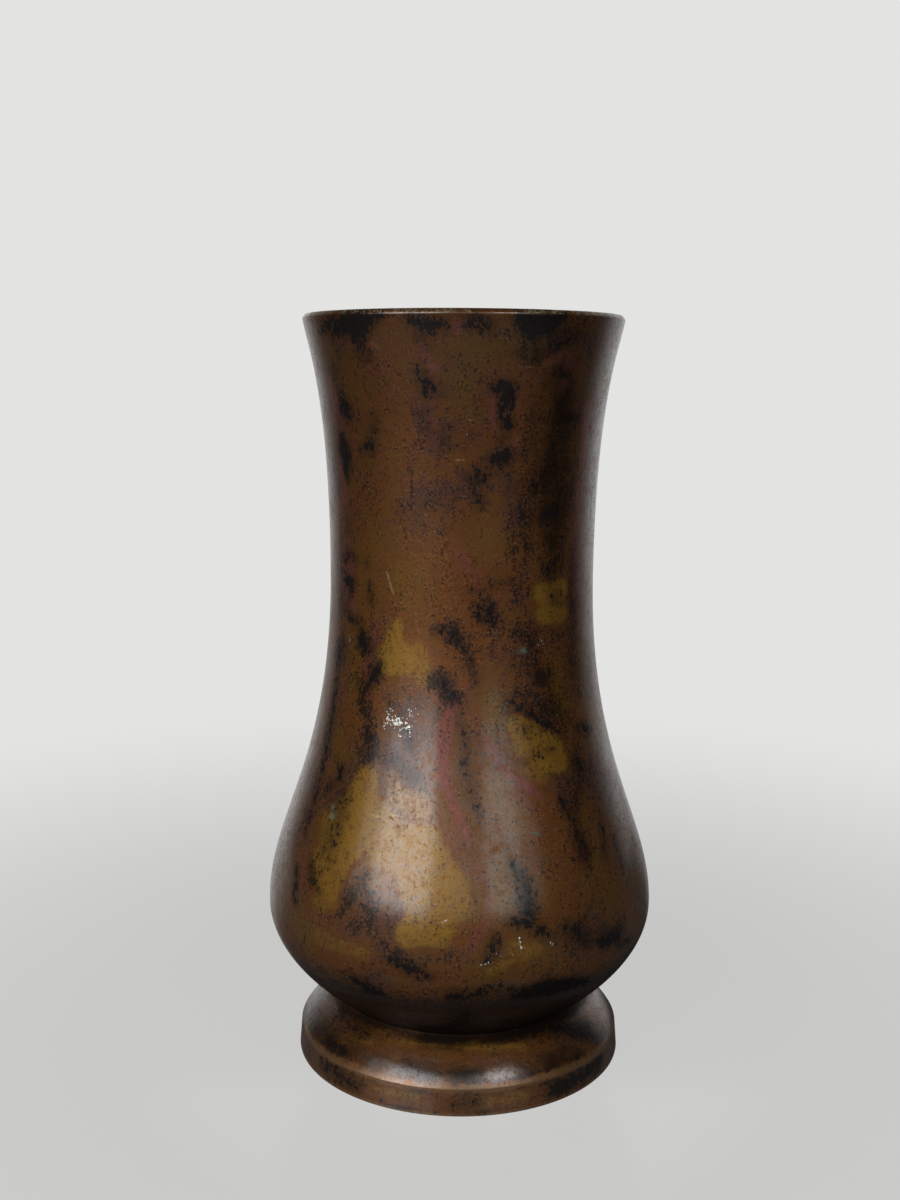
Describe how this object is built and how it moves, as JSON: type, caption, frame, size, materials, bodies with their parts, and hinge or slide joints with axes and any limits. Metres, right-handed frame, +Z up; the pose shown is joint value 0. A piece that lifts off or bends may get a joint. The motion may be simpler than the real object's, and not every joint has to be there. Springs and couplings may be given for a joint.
{
  "type": "bronze vase",
  "caption": "Round bronze vase with a flared neck, a low swelling belly, a tight waist and a spreading foot, closed by a soldered base plate.",
  "frame": {"origin": "centre of the face that the vase stands on", "axes": "+Z up along the vase's axis, towards the mouth; -Y is the side that the picture shows, +X is to its right"},
  "size_m": [0.1284, 0.1284, 0.245],
  "materials": {
    "patinated_bronze": "satin, mottled brown, ochre, red and blue-black patina",
    "plain_bronze": "dull brown, fine turned marks",
    "solder": "dull grey soft solder"
  },
  "bodies": {
    "root": {"vase_body": "patinated_bronze", "base_plate": "plain_bronze", "solder_seam": "solder"}
  },
  "joints": []
}
